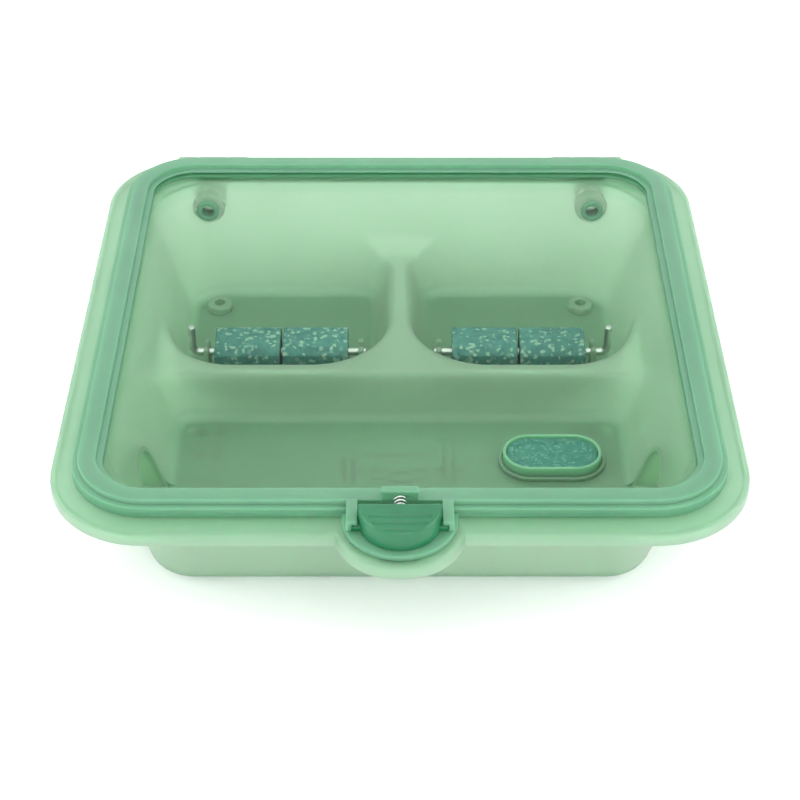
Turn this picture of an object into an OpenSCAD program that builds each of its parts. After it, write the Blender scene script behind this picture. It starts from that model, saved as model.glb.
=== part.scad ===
// Low square bait station: a tapered tray with three wells, a flat lid with a clear window
// hinged at the back, and a spring latch button on a round tongue at the front.
// +X is to the right, +Y to the back, +Z up. The origin is under the middle of the tray,
// on the surface that the tray stands on. Millimetres.

/* [Tray] */
// Width and depth over the flange
rim_w = 229; // [222:1:240]
// Height of the top of the flange
tray_h = 48; // [46:1:56]
// Width and depth of the underside
foot_w = 170; // [168:1:172]
// Horizontal run of every moulded wall for each millimetre of height
draft = 0.3; // [0.28:0.01:0.32]
// Thickness of walls and floor
wall = 2.2; // [1.8:0.1:2.6]
// Depth of the lip turned down round the flange
skirt_h = 5; // [4:0.5:6]
// Radius of the flange's corners
rim_r = 33; // [28:1:36]

/* [Divider] */
// Height of the T-shaped divider
divider_h = 20; // [18:0.5:22]
// Width of the flat on top of the cross bar
bar_top = 6; // [5:0.5:8]
// Width of the flat on top of the stem
stem_top = 8; // [6:0.5:10]
// Distance from the middle of the tray back to the foot of the cross bar
bar_foot_y = 1.1; // [0.8:0.1:3]

/* [Lid] */
// Strip of flange left bare outside the lid
bare_strip = 7.5; // [7.2:0.1:8]
// Width of the lid's frame
frame_w = 10; // [9.5:0.1:10]
// Thickness of the clear window
window_t = 1.1; // [0.8:0.1:1.2]

/* [Entries] */
// Width of the way in through each sleeve
entry_w = 22; // [20:1:24]
// Distance of the entries in front of the middle of the tray
entry_y = 50; // [46:1:54]

/* [Bait] */
// Length of one bait block along its rod
block_l = 25; // [22:0.5:25]
// Depth of a bait block from front to back
block_d = 18; // [14:0.5:18]
// Height of a bait block
block_h = 14; // [12:0.5:16]
// Radius of the wire rods
rod_r = 1.5; // [1.2:0.1:1.6]

/* [Hidden] */
$fn = 64;
HULL_FN = 32;   // segments of a cone inside a hull
CUT = 1;        // how far a cutting solid runs past the face that it cuts
NEAR = 0.3;     // gap between pieces that move against each other
SNUG = 0.05;    // gap between pieces that are fitted together

// Tray
rim_half = rim_w / 2;
foot_half = foot_w / 2;
corner_c = foot_half - 15;            // centres of the conical corners, from the middle
flange_t = 2;
skirt_t = 2;
inner_foot_half = foot_half - wall;
floor_half = inner_foot_half + draft * wall;
floor_corner_r = floor_half - corner_c;
rim_c = rim_half - rim_r;

// Divider, measured at the top of its flanks
flank_run = draft * (divider_h - wall);
bar_back_foot_y = bar_foot_y + 2 * flank_run + bar_top;
stem_foot_half = stem_top / 2 + flank_run;
junction_r = 24.6;                    // where the stem meets the bar, at the floor
side_r = 20;                          // where the bar meets the side walls, at the floor
back_inner_r = 8;
front_well_r = 6;

// Round tongue under the latch
tongue_r = 21;
tongue_y = -rim_half + 5.5;
slot_half = 6.6;
slot_front_y = tongue_y - 10.3;
slot_back_y = tongue_y - 2.5;

// Hinge
knuckle_r = 2.6;
knuckle_gap = 0.4;
hinge_y = rim_half - knuckle_r;
hinge_z = tray_h - 1;
hinge_pin_r = 1.25;
hinge_x0 = 62;
hinge_x1 = 90;
lid_knuckle_x0 = 70.4;
lid_knuckle_x1 = 81.6;

// Lid
lid_half = rim_half - bare_strip;
lid_inner_half = lid_half - frame_w;
lid_z0 = tray_h + NEAR;
plate_z0 = tray_h + 1;
plate_z1 = tray_h + 4;
bead_z1 = tray_h + 6;
bead_out_half = lid_half - 2;
bead_in_half = lid_inner_half + 2;
seal_out_half = lid_half - 3;
seal_in_half = seal_out_half - 4;
seal_z1 = plate_z0 + 1;
window_z0 = tray_h + 2.2;
window_half = lid_inner_half + 2.4;
lid_tongue_r = 18.5;

// Latch button
button_r = 13.1;
button_y = tongue_y - 3;
button_back_y = tongue_y - 1.7;
button_z0 = tray_h + 2.7;
button_ledge_z = tray_h + 4.5;
button_z1 = tray_h + 10;
ledge_half = button_r + 1.8;
rail_z1 = button_ledge_z + 2;
rail_front_y = tongue_y - 7;
hook_half = 6;
hook_front_y = slot_front_y + NEAR;
hook_t = 2.6;
nose_reach = 2.6;
nose_z0 = tray_h - 5.2;
nose_z1 = tray_h - flange_t - 0.4;
spring_z = tray_h + 6.4;
spring_r = 1.75;
spring_wire_r = 0.35;
spring_turns = 7;
pocket_r = 2.5;
pocket_y = button_y - 5.5;
stop_half = 6;

// Entries
sleeve_wall = 1.5;
sleeve_half = entry_w / 2 + sleeve_wall;
sleeve_z0 = wall;
sleeve_out_x = foot_half + 18;
arch_z = sleeve_z0 + sleeve_wall + 10.8;

// Fixing holes
fixing_r = 2.25;
floor_fixing = 73;
floor_boss_r = 5;
floor_boss_h = 3;
wall_fixing_x = 77;
wall_fixing_z = 38;
wall_boss_r = 6.5;
wall_boss_y = foot_half + 5.8;
grommet_r = 3.6;
grommet_depth = 4;
grommet_lip_r = 4.4;
grommet_lip_t = 1.6;
grommet_bore_r = 2.5;

// Bait rods and blocks
rod_y = 33;
rod_z = 10;
rod_x0 = 12.8;
rod_bend_x = 77;
rod_bend_r = 3;
rod_top_z = 22;
post_t = 2;
post_half = 4;
post_z1 = rod_z + 3.5;
inner_post_x = 14;
outer_post_x = 73.5;
block_x0 = 20;
block_gap = 1;
block_bore_r = rod_r + 0.3;
block_chamfer = 2.5;

// Lure dish
dish_x = 55.5;
dish_y = -24;
dish_r = 10;
dish_span = 16;
dish_wall = 1.2;
dish_h = 5;
dish_z0 = wall + SNUG;
rib_t = 1.3;
rib_h = 1.6;

// ---------------------------------------------------------------- shared shapes

// Rectangle round the middle with round corners, flat
module rounded_square(half, r) {
    square([2 * half, 2 * (half - r)], center = true);
    square([2 * (half - r), 2 * half], center = true);
    for (x = [-1, 1], y = [-1, 1])
        translate([x * (half - r), y * (half - r)]) circle(r);
}

// Flat ring between two rounded squares with the rim's corner centres
module square_ring(outer, inner) {
    difference() {
        rounded_square(outer, outer - rim_c);
        rounded_square(inner, inner - rim_c);
    }
}

// Slab of a flat shape between two heights
module slab(z0, z1) {
    translate([0, 0, z0]) linear_extrude(z1 - z0) children();
}

// Square that widens upwards with the draft, with conical corners; half0 is its half width at z = 0
module tapered_square(half0, z0, z1) {
    a = half0 + draft * z0;
    b = half0 + draft * z1;
    for (turn = [0, 90])
        rotate([90, 0, turn])
            linear_extrude(2 * corner_c, center = true)
                polygon([[-a, z0], [a, z0], [b, z1], [-b, z1]]);
    for (x = [-1, 1], y = [-1, 1])
        translate([x * corner_c, y * corner_c, z0])
            cylinder(h = z1 - z0, r1 = a - corner_c, r2 = b - corner_c);
}

// Well from x0 to x1 and y0 to y1 at its floor, grown by g; radii go round from the front left
module well(x0, x1, y0, y1, radii, g = 0) {
    z0 = g > 0 ? -CUT : wall;
    g0 = g - draft * (wall - z0);
    h = divider_h + 0.01 - z0;
    corners = [[x0, y0, 1, 1], [x1, y0, -1, 1], [x1, y1, -1, -1], [x0, y1, 1, -1]];
    hull()
        for (i = [0:3])
            translate([corners[i][0] + corners[i][2] * radii[i], corners[i][1] + corners[i][3] * radii[i], z0])
                cylinder(h = h, r1 = radii[i] + g0, r2 = radii[i] + g0 + draft * h, $fn = HULL_FN);
}

module front_well(g = 0) {
    well(-floor_half, floor_half, -floor_half, bar_foot_y,
        [floor_corner_r, floor_corner_r, front_well_r, front_well_r], g);
}

module back_well(g = 0) {
    well(stem_foot_half, floor_half, bar_back_foot_y, floor_half,
        [junction_r, side_r, floor_corner_r, back_inner_r], g);
}

// Cylinder along X
module x_rod(x0, x1, r) {
    translate([x0, 0, 0]) rotate([0, 90, 0]) cylinder(h = x1 - x0, r = r);
}

// Cylinder along Y
module y_rod(y0, y1, r) {
    translate([0, y1, 0]) rotate([90, 0, 0]) cylinder(h = y1 - y0, r = r);
}

// Flat oval with round ends
module oval(r) {
    square([dish_span, 2 * r], center = true);
    for (x = [-1, 1]) translate([x * dish_span / 2, 0]) circle(r);
}

// Puts a child on the right, and its mirror image on the left
module both_sides() {
    children();
    mirror([1, 0, 0]) children();
}

// ---------------------------------------------------------------- tray

module flange_outline(inset = 0) {
    rounded_square(rim_half - inset, rim_r - inset);
    translate([0, tongue_y]) circle(tongue_r - inset);
}

// Flange with the lip turned down round its edge
module flange() {
    difference() {
        slab(tray_h - skirt_h, tray_h) flange_outline();
        slab(tray_h - skirt_h - CUT, tray_h - flange_t) flange_outline(skirt_t);
    }
}

// Space under the T-shaped divider
module divider_hollow() {
    reach = inner_foot_half - 4;
    difference() {
        translate([-reach, 0, -CUT]) cube([2 * reach, reach, divider_h - wall + CUT]);
        front_well(wall);
        both_sides() back_well(wall);
    }
}

module tray_shell() {
    difference() {
        union() {
            tapered_square(foot_half, 0, tray_h - flange_t / 2);
            flange();
        }
        tapered_square(inner_foot_half, divider_h, tray_h + CUT);
        front_well();
        both_sides() back_well();
        divider_hollow();
        for (side = [0, 1]) mirror([side, 0, 0]) translate([0, -entry_y, 0]) entry_solid(sleeve_half);
        slab(tray_h - skirt_h, tray_h + CUT)
            translate([-slot_half, slot_front_y]) square([2 * slot_half, slot_back_y - slot_front_y]);
    }
}

module rod_post(x) {
    translate([x, rod_y - post_half, wall - SNUG]) cube([post_t, 2 * post_half, post_z1 - wall + SNUG]);
}

// Notches in the posts that a rod drops into
module rod_notch() {
    length = outer_post_x + post_t - inner_post_x + 2 * CUT;
    translate([inner_post_x - CUT, rod_y, rod_z]) {
        x_rod(0, length, rod_r + SNUG);
        translate([0, -rod_r - SNUG, 0]) cube([length, 2 * (rod_r + SNUG), post_half]);
    }
}

module base_knuckle(x0, x1) {
    translate([0, hinge_y, hinge_z]) x_rod(x0, x1, knuckle_r);
}

// Gap in the back of the flange that the lid's knuckle turns in
module knuckle_notch() {
    reach = knuckle_r + knuckle_gap;
    translate([lid_knuckle_x0 - knuckle_gap, hinge_y - reach, hinge_z - reach])
        cube([lid_knuckle_x1 - lid_knuckle_x0 + 2 * knuckle_gap, 2 * reach, 2 * reach]);
}

module dish_rib() {
    translate([dish_x, dish_y, 0])
        slab(wall - SNUG, wall + rib_h) difference() {
            oval(dish_r + NEAR + rib_t);
            oval(dish_r + NEAR);
        }
}

module base_tray() {
    color("mediumseagreen") difference() {
        union() {
            tray_shell();
            dish_rib();
            both_sides() {
                difference() {
                    union() {
                        rod_post(inner_post_x);
                        rod_post(outer_post_x);
                    }
                    rod_notch();
                }
                base_knuckle(hinge_x0, lid_knuckle_x0 - knuckle_gap);
                base_knuckle(lid_knuckle_x1 + knuckle_gap, hinge_x1);
                translate([wall_fixing_x, 0, wall_fixing_z]) y_rod(wall_boss_y, rim_half, wall_boss_r);
                for (y = [-1, 1])
                    translate([floor_fixing, y * floor_fixing, wall - SNUG])
                        cylinder(h = floor_boss_h + SNUG, r = floor_boss_r);
            }
        }
        both_sides() {
            knuckle_notch();
            translate([0, hinge_y, hinge_z]) x_rod(hinge_x0 - CUT, hinge_x1 + CUT, hinge_pin_r + 0.01);
            translate([wall_fixing_x, 0, wall_fixing_z]) {
                y_rod(wall_boss_y - CUT, rim_half + CUT, fixing_r);
                y_rod(wall_boss_y - CUT, wall_boss_y + grommet_depth, grommet_r);
            }
            for (y = [-1, 1])
                translate([floor_fixing, y * floor_fixing, -CUT])
                    cylinder(h = wall + floor_boss_h + 2 * CUT, r = fixing_r);
        }
    }
}

// ---------------------------------------------------------------- fitted to the tray

// Arch that runs out to the right, standing on the floor
module entry_solid(half, z0 = sleeve_z0, x0 = foot_half - 12, x1 = sleeve_out_x) {
    translate([x0, -half, z0]) cube([x1 - x0, 2 * half, arch_z - z0]);
    translate([0, 0, arch_z]) x_rod(x0, x1, half);
}

module entry_sleeve() {
    color("seagreen") difference() {
        translate([0, -entry_y, 0]) difference() {
            entry_solid(sleeve_half - SNUG, sleeve_z0 + SNUG);
            entry_solid(entry_w / 2, sleeve_z0 + sleeve_wall, foot_half - 13, sleeve_out_x + CUT);
        }
        tapered_square(inner_foot_half, 0, tray_h);
    }
}

module wall_grommet() {
    color("darkgreen") translate([wall_fixing_x, 0, wall_fixing_z]) difference() {
        union() {
            y_rod(wall_boss_y - SNUG, wall_boss_y + grommet_depth - SNUG, grommet_r - SNUG);
            y_rod(wall_boss_y - SNUG - grommet_lip_t, wall_boss_y - SNUG, grommet_lip_r);
        }
        y_rod(wall_boss_y - grommet_lip_t - CUT, wall_boss_y + grommet_depth + CUT, grommet_bore_r);
    }
}

module hinge_pin() {
    color("silver") translate([0, hinge_y, hinge_z]) x_rod(hinge_x0 + 0.5, hinge_x1 - 0.5, hinge_pin_r);
}

// ---------------------------------------------------------------- lid

module lid_knuckle() {
    translate([0, hinge_y, hinge_z]) x_rod(lid_knuckle_x0, lid_knuckle_x1, knuckle_r);
    translate([lid_knuckle_x0, lid_half - 1, lid_z0])
        cube([lid_knuckle_x1 - lid_knuckle_x0, hinge_y - lid_half + 1, hinge_z + knuckle_r - lid_z0]);
}

// Rail that keeps the latch button on the lid's tongue
module latch_rail() {
    translate([ledge_half + NEAR, rail_front_y, plate_z0 + CUT])
        cube([1.8, -lid_half + 2 - rail_front_y, rail_z1 - plate_z0 - CUT]);
    translate([button_r + NEAR, rail_front_y, button_ledge_z + NEAR])
        cube([3, -lid_half + 2 - rail_front_y, rail_z1 - button_ledge_z - NEAR]);
}

module lid_frame() {
    color("seagreen") difference() {
        union() {
            slab(plate_z0, plate_z1) square_ring(lid_half, lid_inner_half);
            slab(lid_z0, plate_z0 + 0.1) square_ring(lid_half, lid_half - 1.8);
            slab(plate_z1 - 0.1, bead_z1) square_ring(bead_out_half, bead_in_half);
            slab(lid_z0, tray_h + 2.4) difference() {
                translate([0, tongue_y]) circle(lid_tongue_r);
                translate([-rim_half, -lid_half + 1.8]) square([rim_w, rim_w]);
            }
            translate([-stop_half, -bead_out_half, plate_z1 - 0.1])
                cube([2 * stop_half, 3, button_z1 - 0.5 - plate_z1 + 0.1]);
            both_sides() {
                latch_rail();
                lid_knuckle();
            }
        }
        slab(plate_z0 - CUT, seal_z1) square_ring(seal_out_half, seal_in_half);
        slab(window_z0, window_z0 + window_t + 2 * SNUG)
            rounded_square(window_half + SNUG, window_half + SNUG - rim_c);
        slab(lid_z0 - CUT, plate_z0 + 2)
            translate([-slot_half, slot_front_y]) square([2 * slot_half, slot_back_y - slot_front_y]);
        both_sides() translate([0, hinge_y, hinge_z])
            x_rod(lid_knuckle_x0 - CUT, lid_knuckle_x1 + CUT, hinge_pin_r + SNUG);
    }
}

module lid_window() {
    color("honeydew", 0.5) slab(window_z0 + SNUG, window_z0 + SNUG + window_t)
        rounded_square(window_half, window_half - rim_c);
}

module lid_seal() {
    color("darkslategray") slab(tray_h + 0.2, seal_z1) square_ring(seal_out_half - SNUG, seal_in_half + SNUG);
}

// ---------------------------------------------------------------- latch

// Flat half disc with a straight back
module button_outline(r) {
    intersection() {
        translate([0, button_y]) {
            circle(r);
            translate([-r, 0]) square([2 * r, 20]);
        }
        translate([-rim_half, button_back_y - 40]) square([rim_w, 40]);
    }
}

module latch_button() {
    color("darkgreen") difference() {
        union() {
            slab(button_z0, button_z1) button_outline(button_r);
            slab(button_z0, button_ledge_z) intersection() {
                translate([-ledge_half, rail_front_y]) square([2 * ledge_half, button_back_y - rail_front_y]);
                translate([0, tongue_y]) circle(lid_tongue_r);
            }
            translate([-hook_half, hook_front_y, nose_z0]) cube([2 * hook_half, hook_t, button_z0 - nose_z0 + CUT]);
            translate([-hook_half, hook_front_y - nose_reach, nose_z0])
                cube([2 * hook_half, nose_reach + CUT, nose_z1 - nose_z0]);
        }
        translate([0, 0, spring_z]) y_rod(pocket_y, button_back_y + CUT, pocket_r);
    }
}

// Points round the wire at ring i of the spring, which is wound along Y
function spring_ring(i, rings, y0, y1) =
    let (a = 360 * spring_turns * i / rings, y = y0 + (y1 - y0) * i / rings)
    [for (k = [0:5])
        let (b = 60 * k, r = spring_r + spring_wire_r * cos(b))
        [r * cos(a), y + spring_wire_r * sin(b), r * sin(a)]];

module latch_spring() {
    rings = spring_turns * 12;
    y0 = pocket_y + spring_wire_r + SNUG;
    y1 = -bead_out_half - spring_wire_r - SNUG;
    points = [for (i = [0:rings]) each spring_ring(i, rings, y0, y1)];
    sides = [for (i = [0:rings - 1], k = [0:5])
        let (a = 6 * i + k, b = 6 * i + (k + 1) % 6) each [[a, b, b + 6], [a, b + 6, a + 6]]];
    last = 6 * rings;
    color("silver") translate([0, 0, spring_z])
        polyhedron(points, concat(sides, [[5, 4, 3, 2, 1, 0]], [[for (k = [0:5]) last + k]]));
}

// ---------------------------------------------------------------- bait

// Wire rod along X with its outer end bent up as a thumb hook
module bait_rod() {
    color("silver") translate([0, rod_y, rod_z]) {
        x_rod(rod_x0, rod_bend_x, rod_r);
        translate([rod_bend_x, 0, rod_bend_r]) rotate([90, 0, 0]) rotate([0, 0, -90])
            rotate_extrude(angle = 90) translate([rod_bend_r, 0]) circle(rod_r);
        translate([rod_bend_x + rod_bend_r, 0, rod_bend_r])
            cylinder(h = rod_top_z - rod_z - rod_bend_r, r = rod_r);
    }
}

// Block number i from the stem outwards
module bait_block(i) {
    d = block_d / 2;
    h = block_h / 2;
    c = block_chamfer;
    x = block_x0 + i * (block_l + block_gap);
    color("cadetblue") translate([x, rod_y, rod_z]) difference() {
        rotate([90, 0, 90]) linear_extrude(block_l)
            polygon([[-d + c, -h], [d - c, -h], [d, -h + c], [d, h - c],
                [d - c, h], [-d + c, h], [-d, h - c], [-d, -h + c]]);
        x_rod(-CUT, block_l + CUT, block_bore_r);
    }
}

module lure_dish() {
    color("seagreen") translate([dish_x, dish_y, 0]) difference() {
        slab(dish_z0, dish_z0 + dish_h) oval(dish_r);
        slab(dish_z0 + dish_wall, dish_z0 + dish_h + CUT) oval(dish_r - dish_wall);
    }
}

module lure_tablet() {
    z = dish_z0 + dish_wall + SNUG;
    color("teal") translate([dish_x, dish_y, 0]) slab(z, z + 2.8) oval(dish_r - dish_wall - NEAR);
}

base_tray();
mirror([1, 0, 0]) entry_sleeve();  // entry_sleeve_left
entry_sleeve();  // entry_sleeve_right
mirror([1, 0, 0]) wall_grommet();  // wall_grommet_left
wall_grommet();  // wall_grommet_right
mirror([1, 0, 0]) hinge_pin();  // hinge_pin_left
hinge_pin();  // hinge_pin_right
lid_frame();
lid_window();
lid_seal();
latch_button();
latch_spring();
mirror([1, 0, 0]) bait_rod();  // bait_rod_left
bait_rod();  // bait_rod_right
mirror([1, 0, 0]) bait_block(1);  // bait_block_left_outer
mirror([1, 0, 0]) bait_block(0);  // bait_block_left_inner
bait_block(0);  // bait_block_right_inner
bait_block(1);  // bait_block_right_outer
lure_dish();
lure_tablet();
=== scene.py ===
# %% [markdown]
# # A low square bait station
# A moulded tray with three wells, a flat lid with a clear window, and the bait on wire rods.
# The CAD model gives every size and every joint, so the lesson starts by loading it. Each piece
# is then built again round it with the fillets, grain and see-through plastic of the real one.

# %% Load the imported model
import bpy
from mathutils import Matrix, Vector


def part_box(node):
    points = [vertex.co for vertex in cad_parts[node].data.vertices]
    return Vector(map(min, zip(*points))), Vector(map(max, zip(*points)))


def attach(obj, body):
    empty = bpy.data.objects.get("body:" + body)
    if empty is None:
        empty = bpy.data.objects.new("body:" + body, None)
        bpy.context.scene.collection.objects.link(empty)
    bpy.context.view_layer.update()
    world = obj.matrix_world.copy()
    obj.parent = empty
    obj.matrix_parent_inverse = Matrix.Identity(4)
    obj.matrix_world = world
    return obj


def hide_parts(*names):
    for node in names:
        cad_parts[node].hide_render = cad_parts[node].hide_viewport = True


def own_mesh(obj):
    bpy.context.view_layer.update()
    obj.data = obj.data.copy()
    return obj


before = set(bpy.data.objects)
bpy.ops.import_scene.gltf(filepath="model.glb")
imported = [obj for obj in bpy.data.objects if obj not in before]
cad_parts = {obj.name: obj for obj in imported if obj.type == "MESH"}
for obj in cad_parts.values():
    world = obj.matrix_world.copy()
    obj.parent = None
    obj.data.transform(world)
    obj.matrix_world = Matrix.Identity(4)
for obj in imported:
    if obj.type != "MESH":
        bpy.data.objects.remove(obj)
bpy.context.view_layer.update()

import math
import bmesh
import bpy
from mathutils import Matrix, Vector

MM = 0.001

# %% [markdown]
# ## Camera, floor and light
# The camera looks down at 38 degrees from the front, which shows the inside of the tray and its
# latch at once. It stands well back with a narrow view, so that the sides stay nearly straight.

# %% Camera
TILT = math.radians(38)
DISTANCE = 0.713
AIM = Vector((0, 0, 0.012))

camera_data = bpy.data.cameras.new("camera")
camera_data.sensor_width = 36
camera_data.lens = 86.1
camera = bpy.data.objects.new("camera", camera_data)
camera.location = AIM + DISTANCE * Vector((0, -math.cos(TILT), math.sin(TILT)))
camera.rotation_euler = (math.pi / 2 - TILT, 0, 0)
bpy.context.scene.collection.objects.link(camera)
bpy.context.scene.camera = camera
print("camera at", [round(v, 3) for v in camera.location])

# %% [markdown]
# See-through plastic lives on light from all sides, so the room is a pale even dome. One wide lamp
# overhead gives the rim its shape. Three low ones, in front and at both sides, shine through the
# walls and leave the floor of the tray darker. "Standard" keeps the white of the floor white.

# %% Room and lamps
scene = bpy.context.scene
scene.view_settings.view_transform = "Standard"

world = bpy.data.worlds.new("pale studio")
world.use_nodes = True
world.node_tree.nodes["Background"].inputs["Color"].default_value = (1, 1, 1, 1)
world.node_tree.nodes["Background"].inputs["Strength"].default_value = 1.35
scene.world = world


def add_lamp(name, place, size, power):
    """A square softbox at a place, facing the tray."""
    lamp = bpy.data.lights.new(name, "AREA")
    lamp.size = size
    lamp.energy = power
    holder = bpy.data.objects.new(name, lamp)
    holder.location = place
    holder.rotation_euler = (Vector(place) - AIM).to_track_quat("Z", "Y").to_euler()
    scene.collection.objects.link(holder)


add_lamp("overhead softbox", (-0.15, -0.15, 1.1), 0.9, 2)
add_lamp("front softbox", (0.1, -1.0, 0.45), 0.7, 3.5)
add_lamp("left softbox", (-1.0, -0.1, 0.4), 0.7, 4)
add_lamp("right softbox", (1.0, -0.1, 0.4), 0.7, 4)
print("lamps:", len(bpy.data.lights))

# %% [markdown]
# ## Materials
# Three helpers keep each material short: one turns a hex colour into the linear numbers that
# Blender works with, one adds a node with its settings and links, and one starts a material.
# Patterns are laid on Object coordinates, which are metres from the origin, so a noise with a
# Scale of 1 / (9 * MM) has lumps about 9 mm across.


# %% Colour and node helpers
def linear(hex_colour):
    """sRGB hex such as "9FD0AC" to linear RGBA."""
    parts = [int(hex_colour[i:i + 2], 16) / 255 for i in (0, 2, 4)]
    return tuple(c / 12.92 if c <= 0.04045 else ((c + 0.055) / 1.055) ** 2.4 for c in parts) + (1,)


def add(tree, kind, links=None, to=None, stops=(), **settings):
    """Adds a node. settings name its properties or inputs. links name inputs and the nodes or
    sockets that feed them. to is the socket that it feeds, and stops are the colours of a ramp."""
    node = tree.nodes.new("ShaderNode" + kind)
    for name, value in settings.items():
        if hasattr(node, name):
            setattr(node, name, value)
        else:
            node.inputs[name.replace("_", " ")].default_value = value
    for name, source in (links or {}).items():
        tree.links.new(getattr(source, "outputs", [source])[0], node.inputs[name])
    for count, (place, colour) in enumerate(stops):
        stop = node.color_ramp.elements[count] if count < 2 else node.color_ramp.elements.new(place)
        stop.position = place
        stop.color = linear(colour)
    if to:
        tree.links.new(node.outputs[0], to)
    return node


def new_material(name, **settings):
    """A material with one Principled shader. Returns it with its tree, the shader's inputs and
    the coordinates of the piece it is on."""
    material = bpy.data.materials.new(name)
    material.use_nodes = True
    tree = material.node_tree
    inputs = tree.nodes["Principled BSDF"].inputs
    for socket, value in settings.items():
        inputs[socket.replace("_", " ")].default_value = value
    return material, tree, inputs, add(tree, "TexCoord").outputs["Object"]


print("hex 808080 is", round(linear("808080")[0], 3), "in linear light")

# %% [markdown]
# ## Working in millimetres
# Every mesh below is built in millimetres and shrunk to metres when it becomes an object. What is
# cut out of a piece, or joined on to it, is made the same way and used up by a boolean modifier.


# %% Meshes and carving
def mesh_from(bm, name):
    """Shrinks a millimetre bmesh to metres and turns it into a mesh."""
    bmesh.ops.scale(bm, vec=(MM, MM, MM), verts=bm.verts)
    mesh = bpy.data.meshes.new(name)
    bm.to_mesh(mesh)
    bm.free()
    return mesh


def settle(piece):
    """Applies the modifiers of a piece, so that its mesh is final."""
    graph = bpy.context.evaluated_depsgraph_get()
    raw = piece.data
    piece.data = bpy.data.meshes.new_from_object(piece.evaluated_get(graph))
    piece.modifiers.clear()
    bpy.data.meshes.remove(raw)


def carve(piece, bm, operation="DIFFERENCE"):
    """Cuts a millimetre bmesh out of a piece, or joins it on with UNION."""
    tool = bpy.data.objects.new("tool", mesh_from(bm, "tool"))
    scene.collection.objects.link(tool)
    cut = piece.modifiers.new("carve", "BOOLEAN")
    cut.operation = operation
    cut.solver = "MANIFOLD"
    cut.object = tool
    bpy.context.view_layer.update()
    settle(piece)
    used = tool.data
    bpy.data.objects.remove(tool)
    bpy.data.meshes.remove(used)


def piece_from(bm, name):
    """Makes an object of a millimetre bmesh, for carving and finishing."""
    piece = bpy.data.objects.new(name, mesh_from(bm, name))
    scene.collection.objects.link(piece)
    return piece


print("one millimetre is", MM, "m")

# %% [markdown]
# A finished piece has a material, a body to ride on and the CAD node that it takes the place of.
# Its faces are shaded smooth wherever they meet at less than 38 degrees, and the rest stay crisp.

# %% Finished pieces
SMOOTH_UP_TO = math.radians(38)


def finish_piece(piece, body, material, node):
    """Smooths a piece up to real edges, gives it its finish and lets it ride on its body, in the
    place of a node of the CAD model."""
    piece.data.materials.clear()
    piece.data.materials.append(material)
    for face in piece.data.polygons:
        face.use_smooth = True
        face.material_index = 0
    piece.data.validate()
    piece.data.set_sharp_from_angle(angle=SMOOTH_UP_TO)
    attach(piece, body)
    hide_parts(node)
    print(piece.name, "has", len(piece.data.polygons), "faces")


print("edges stay crisp above", round(math.degrees(SMOOTH_UP_TO)), "degrees")

# %% [markdown]
# ## Shapes that come back
# Moulded parts are mostly blocks and pegs with eased edges. A block is a cube stretched between
# two corners, and a peg is a cylinder turned to lie along a line.


# %% Blocks and pegs
def only(kind, geometry):
    """The items of one bmesh type in an operator's result."""
    return [item for item in geometry if isinstance(item, kind)]


def ease(bm, edges, size, segments=2):
    """Rounds edges over, from size millimetres either side of them."""
    bmesh.ops.bevel(bm, geom=edges, offset=size, offset_type="OFFSET", segments=segments,
                    profile=0.5, affect="EDGES", clamp_overlap=True, material=-1)


def pull(bm, faces, move):
    """Draws faces out along a vector, with walls behind them. Returns the faces at the end."""
    made = bmesh.ops.extrude_face_region(bm, geom=faces)["geom"]
    bmesh.ops.translate(bm, vec=move, verts=only(bmesh.types.BMVert, made))
    return only(bmesh.types.BMFace, made)


def block(bm, low, high):
    """A box between two corners, for cutting or as the start of a piece. Returns its vertices."""
    verts = bmesh.ops.create_cube(bm, size=1)["verts"]
    low, high = Vector(low), Vector(high)
    bmesh.ops.scale(bm, vec=high - low, verts=verts)
    bmesh.ops.translate(bm, vec=(low + high) / 2, verts=verts)
    return verts


def edges_of(verts):
    """The edges that meet at some vertices, each once and always in the same order."""
    return list(dict.fromkeys(edge for vert in verts for edge in vert.link_edges))


def eased_block(bm, low, high, size, segments=2):
    """A box between two corners with eased edges."""
    ease(bm, edges_of(block(bm, low, high)), size, segments)


def peg(bm, start, end, radius, size=0, sides=40):
    """A round peg from start to end. Its rims are eased if a size is given."""
    start, end = Vector(start), Vector(end)
    along = end - start
    turn = along.to_track_quat("Z", "Y").to_matrix().to_4x4()
    verts = bmesh.ops.create_cone(bm, cap_ends=True, segments=sides, radius1=radius, radius2=radius,
                                  depth=along.length,
                                  matrix=Matrix.Translation((start + end) / 2) @ turn)["verts"]
    if size:
        ease(bm, [edge for edge in edges_of(verts)
                  if any(len(face.verts) > 4 for face in edge.link_faces)], size)


trial = bmesh.new()
eased_block(trial, (0, 0, 0), (10, 10, 10), 1)
print("a block with eased edges has", len(trial.faces), "faces")
trial.free()

# %% [markdown]
# The lid's frame, the gasket, the dish and its ring are profiles that run round a square or an
# oval. The profile is extruded along each straight side and spun about each corner, then its two
# ends are welded. What stands on both sides of the tray is made on the right and mirrored.


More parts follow.
